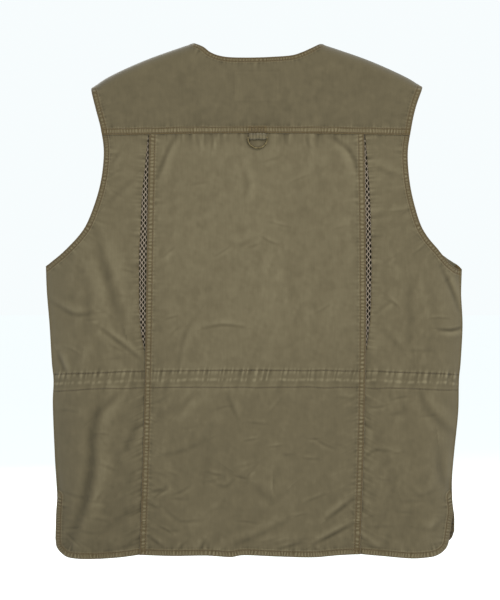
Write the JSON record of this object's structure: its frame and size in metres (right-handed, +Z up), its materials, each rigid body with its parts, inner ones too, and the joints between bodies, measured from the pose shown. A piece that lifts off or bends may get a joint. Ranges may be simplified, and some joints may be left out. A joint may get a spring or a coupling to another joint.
{
  "type": "fishing vest",
  "caption": "Sleeveless cotton fishing vest with mesh back vents, a cord tunnel at the waist, a D-ring on a tab at the back yoke, flapped front pockets and a front zipper.",
  "frame": {"origin": "level with the neck points of the shoulders, midway between them and between the front and back at the side seams", "axes": "+Z up along the wearer's spine, -Y the way the wearer faces, +X to the wearer's left"},
  "size_m": [0.576, 0.0672, 0.711],
  "materials": {
    "washed_cotton": "matte",
    "vent_mesh": "matte",
    "elastic_cord": "matte",
    "binding_tape": "matte",
    "label_cloth": "matte",
    "zip_tape": "matte",
    "zip_plastic": "satin",
    "antique_brass": "satin",
    "dark_metal": "satin"
  },
  "bodies": {
    "back": {"back_yoke": "washed_cotton", "back_center_panel": "washed_cotton", "back_side_panel_left": "washed_cotton", "back_side_panel_right": "washed_cotton", "vent_mesh_left": "vent_mesh", "vent_mesh_right": "vent_mesh", "waist_tunnel": "washed_cotton", "waist_cord": "elastic_cord", "armhole_binding_left": "binding_tape", "armhole_binding_right": "binding_tape", "neck_binding_back": "binding_tape", "hanger_loop": "binding_tape", "neck_label": "label_cloth", "d_ring_tab": "washed_cotton", "front_side_panel_left": "washed_cotton", "front_side_panel_right": "washed_cotton"},
    "d_ring": {"d_ring": "antique_brass"},
    "zip_slider": {"zip_slider": "dark_metal"},
    "zip_pull": {"zip_pull": "dark_metal"},
    "front_left": {"front_panel_left": "washed_cotton", "front_facing_left": "binding_tape", "neck_binding_front_left": "binding_tape", "zip_tape_left": "zip_tape", "zip_teeth_left": "zip_plastic", "zip_top_stop_left": "zip_plastic", "chest_pocket_left": "washed_cotton", "lower_pocket_left": "washed_cotton", "pocket_snap_studs_left": "antique_brass", "zip_retainer_box": "zip_plastic"},
    "chest_flap_left": {"chest_flap_left": "washed_cotton", "chest_snap_caps_left": "antique_brass", "chest_snap_sockets_left": "antique_brass"},
    "lower_flap_left": {"lower_flap_left": "washed_cotton", "lower_snap_caps_left": "antique_brass", "lower_snap_sockets_left": "antique_brass"},
    "front_right": {"front_panel_right": "washed_cotton", "front_facing_right": "binding_tape", "neck_binding_front_right": "binding_tape", "zip_tape_right": "zip_tape", "zip_teeth_right": "zip_plastic", "zip_top_stop_right": "zip_plastic", "chest_pocket_right": "washed_cotton", "lower_pocket_right": "washed_cotton", "pocket_snap_studs_right": "antique_brass", "zip_pin": "zip_plastic"},
    "chest_flap_right": {"chest_flap_right": "washed_cotton", "chest_snap_caps_right": "antique_brass", "chest_snap_sockets_right": "antique_brass"},
    "lower_flap_right": {"lower_flap_right": "washed_cotton", "lower_snap_caps_right": "antique_brass", "lower_snap_sockets_right": "antique_brass"}
  },
  "joints": [
    {"name": "d_ring_swing", "type": "hinge", "parent": "back", "child": "d_ring", "pos_m": [0, 0.0227, -0.132], "axis": [1, 0, 0], "range_deg": [0, 150]},
    {"name": "front_left_open", "type": "hinge", "parent": "back", "child": "front_left", "pos_m": [0.25, -0.0223, -0.698], "axis": [-0.2274, 0, 0.9738], "range_deg": [0, 90]},
    {"name": "front_right_open", "type": "hinge", "parent": "back", "child": "front_right", "pos_m": [-0.25, -0.0223, -0.698], "axis": [-0.2274, 0, -0.9738], "range_deg": [0, 90]},
    {"name": "zip_slide", "type": "slide", "parent": "front_left", "child": "zip_slider", "axis": [0, 0, 1], "range_m": [0, 0.454]},
    {"name": "zip_pull_swing", "type": "hinge", "parent": "zip_slider", "child": "zip_pull", "pos_m": [0.0069, -0.02565, -0.6599], "axis": [-1, 0, 0], "range_deg": [0, 150]},
    {"name": "chest_flap_left_lift", "type": "hinge", "parent": "front_left", "child": "chest_flap_left", "pos_m": [0.076, -0.0224, -0.212], "axis": [-1, 0, 0], "range_deg": [0, 110]},
    {"name": "lower_flap_left_lift", "type": "hinge", "parent": "front_left", "child": "lower_flap_left", "pos_m": [0.103, -0.0224, -0.441], "axis": [-1, 0, 0], "range_deg": [0, 110]},
    {"name": "chest_flap_right_lift", "type": "hinge", "parent": "front_right", "child": "chest_flap_right", "pos_m": [-0.076, -0.0224, -0.212], "axis": [-1, 0, 0], "range_deg": [0, 110]},
    {"name": "lower_flap_right_lift", "type": "hinge", "parent": "front_right", "child": "lower_flap_right", "pos_m": [-0.103, -0.0224, -0.441], "axis": [-1, 0, 0], "range_deg": [0, 110]}
  ]
}
